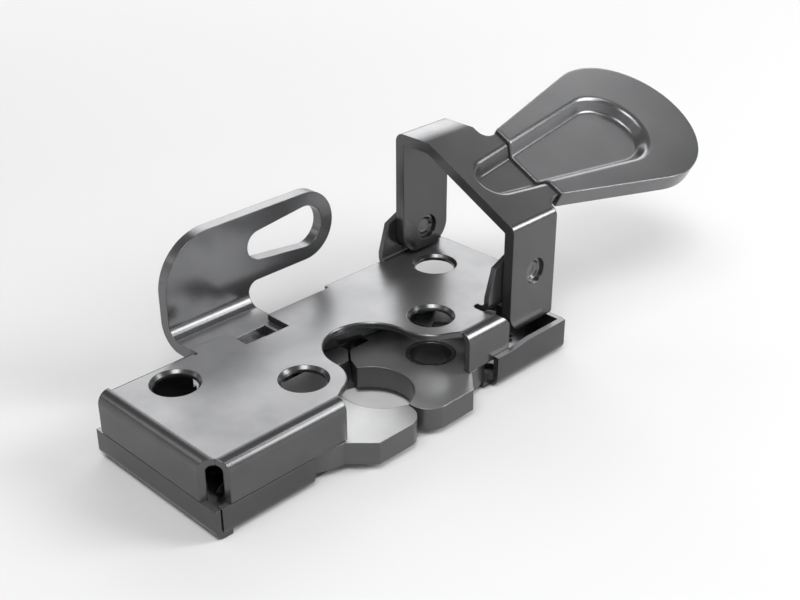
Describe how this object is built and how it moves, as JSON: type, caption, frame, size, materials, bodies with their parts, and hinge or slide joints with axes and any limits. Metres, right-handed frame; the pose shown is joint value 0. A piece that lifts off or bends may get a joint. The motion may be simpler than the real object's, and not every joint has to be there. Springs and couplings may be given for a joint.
{
  "type": "rotary latch",
  "caption": "Sheet-steel rotary latch: two jaws close round a striker pin and a pressed handle on a bail opens them.",
  "frame": {"origin": "on the underside of the base, on the axis of the striker pin that the closed jaws hold", "axes": "+X along the housing to the end with the handle, +Y from the mouth to the back edge, +Z out of the base to the cover"},
  "size_m": [0.1876, 0.0634, 0.0591],
  "materials": {
    "pressed_steel": "satin",
    "jaw_steel": "satin",
    "pin_steel": "satin",
    "spring_steel": "satin"
  },
  "bodies": {
    "housing": {"cover_plate": "pressed_steel", "base_plate": "pressed_steel", "right_bush": "pin_steel", "left_bush": "pin_steel", "right_spring_post": "pin_steel", "left_spring_post": "pin_steel", "right_jaw_spring": "spring_steel", "left_jaw_spring": "spring_steel", "guide_stud": "pin_steel", "transfer_stud": "pin_steel", "near_pin": "pin_steel", "far_pin": "pin_steel"},
    "handle": {"bail": "pressed_steel", "handle_grip": "pressed_steel"},
    "transfer": {"transfer_lever": "pressed_steel"},
    "catch_slide": {"catch": "jaw_steel", "catch_stud": "pin_steel", "trip_lever": "pressed_steel"},
    "jaw_right": {"right_jaw": "jaw_steel"},
    "jaw_left": {"left_jaw": "jaw_steel"}
  },
  "joints": [
    {"name": "handle_turn", "type": "hinge", "parent": "housing", "child": "handle", "pos_m": [0.0489, 0.0105, 0.0258], "axis": [0, 1, 0], "range_deg": [0, 17.99], "stiffness_Nm_per_rad": 0.5, "springref_deg": -34.38},
    {"name": "transfer_turn", "type": "hinge", "parent": "housing", "child": "transfer", "pos_m": [0.033, 0.017, 0.012], "axis": [0, 0, -1], "range_deg": [0, 12.6]},
    {"name": "catch_release", "type": "slide", "parent": "housing", "child": "catch_slide", "axis": [0, 1, 0], "range_m": [0, 0.00777]},
    {"name": "jaw_right_turn", "type": "hinge", "parent": "housing", "child": "jaw_right", "pos_m": [0.0215, 0.002, 0.0047], "axis": [0, 0, 1], "range_deg": [0, 36.07]},
    {"name": "jaw_left_turn", "type": "hinge", "parent": "housing", "child": "jaw_left", "pos_m": [-0.0215, 0.002, 0.0047], "axis": [0, 0, -1], "range_deg": [0, 36.07]}
  ],
  "couplings": [
    {"joint": "transfer_turn", "follows": "handle_turn", "ratio": 0.69873},
    {"joint": "catch_release", "follows": "handle_turn", "m_per_rad": 0.024682},
    {"joint": "jaw_right_turn", "follows": "handle_turn", "ratio": 2.001},
    {"joint": "jaw_left_turn", "follows": "handle_turn", "ratio": 2.001}
  ]
}
